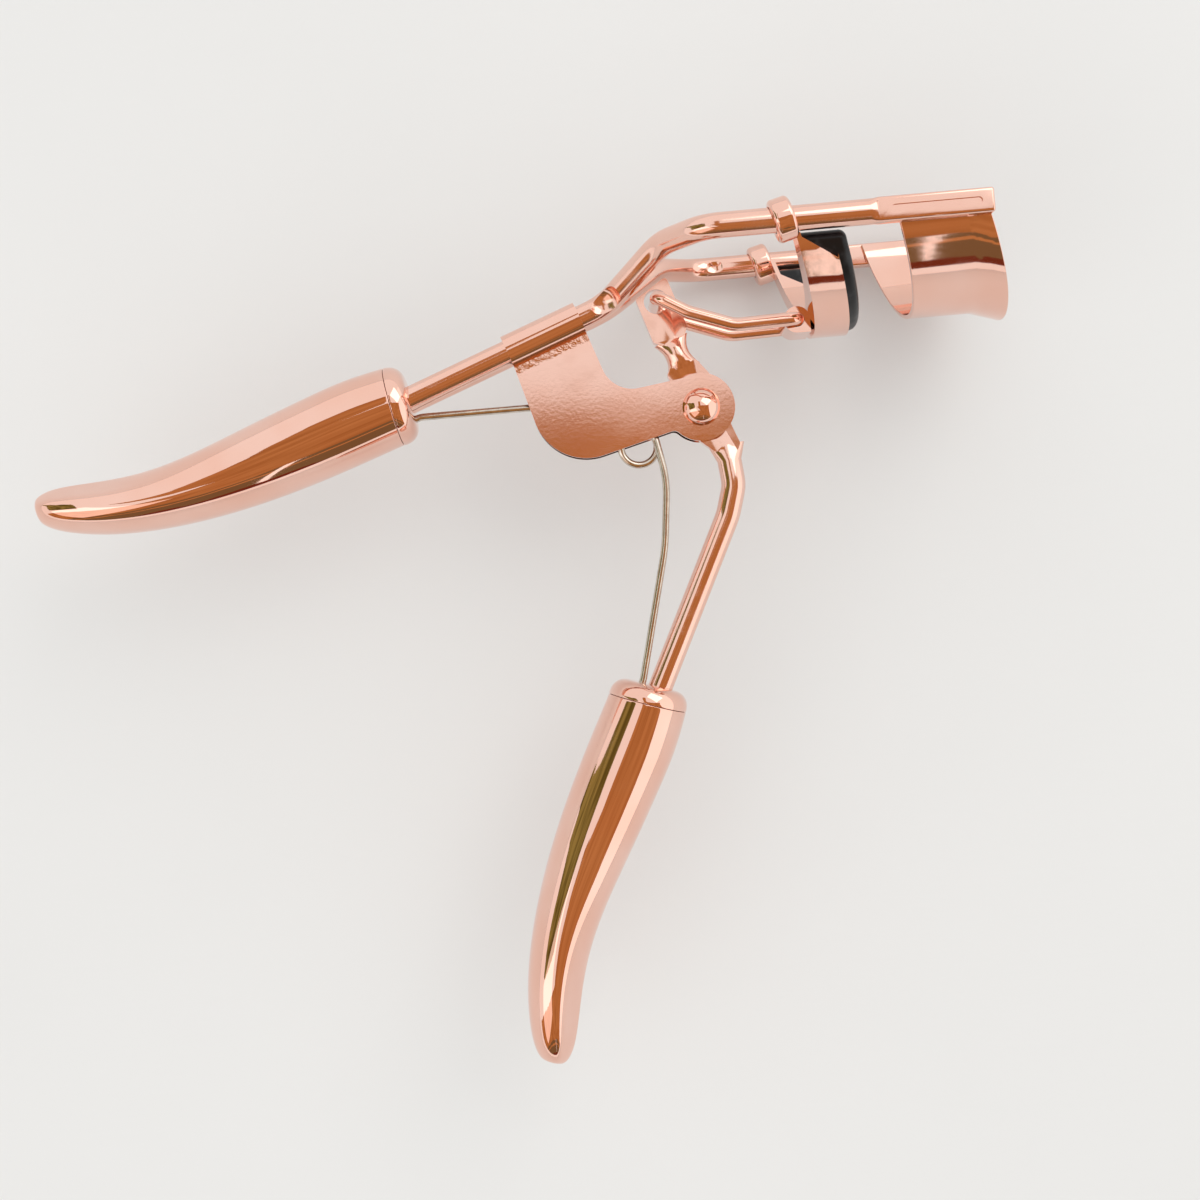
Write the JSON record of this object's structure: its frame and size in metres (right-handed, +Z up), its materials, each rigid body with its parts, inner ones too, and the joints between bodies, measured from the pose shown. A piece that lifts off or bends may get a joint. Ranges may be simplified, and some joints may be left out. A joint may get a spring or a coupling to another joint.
{
  "type": "eyelash curler",
  "caption": "Scissor-action eyelash curler lying flat and open: two rails with a fixed curved upper jaw, a padded lower jaw that slides along them, two plated grips and a wire spring.",
  "frame": {"origin": "centre of the bounding box in plan, at the level of the lowest point", "axes": "+Z up, square to the plane in which the handles move; +X along the rails, from the handles to the fixed jaw"},
  "size_m": [0.1086, 0.091, 0.0332],
  "materials": {
    "plated_steel": "polished rose-gold plating",
    "plated_plastic": "mirror-bright rose-gold plating",
    "spring_steel": "dull drawn wire",
    "pad_rubber": "smooth satin"
  },
  "bodies": {
    "frame": {"frame_wire_upper": "plated_steel", "frame_wire_lower": "plated_steel", "upper_jaw": "plated_steel", "bracket": "plated_steel", "pivot_rivet": "plated_steel", "frame_grip": "plated_plastic", "frame_grip_cap": "plated_plastic", "spring": "spring_steel"},
    "lever": {"lever_wire": "plated_steel", "lever_grip": "plated_plastic", "lever_grip_cap": "plated_plastic"},
    "lower_jaw": {"lower_jaw": "plated_steel", "lash_pad": "pad_rubber"},
    "link": {"link": "plated_steel"}
  },
  "joints": [
    {"name": "lever_pivot", "type": "hinge", "parent": "frame", "child": "lever", "pos_m": [0.02005, 0.02555, 0.01658], "axis": [0, 0, -1], "range_deg": [0, 27], "stiffness_Nm_per_rad": 0.11, "deforming": ["spring"]},
    {"name": "jaw_slide", "type": "slide", "parent": "frame", "child": "lower_jaw", "axis": [1, 0, 0], "range_m": [0, 0.0058]},
    {"name": "link_pivot", "type": "hinge", "parent": "lower_jaw", "child": "link", "pos_m": [0.03125, 0.03399, 0.01658], "axis": [0, 0, -1], "range_deg": [0, 2.6]}
  ],
  "couplings": [
    {"joint": "jaw_slide", "follows": "lever_pivot", "m_per_rad": 0.0123},
    {"joint": "link_pivot", "follows": "lever_pivot", "ratio": 0.0926}
  ]
}
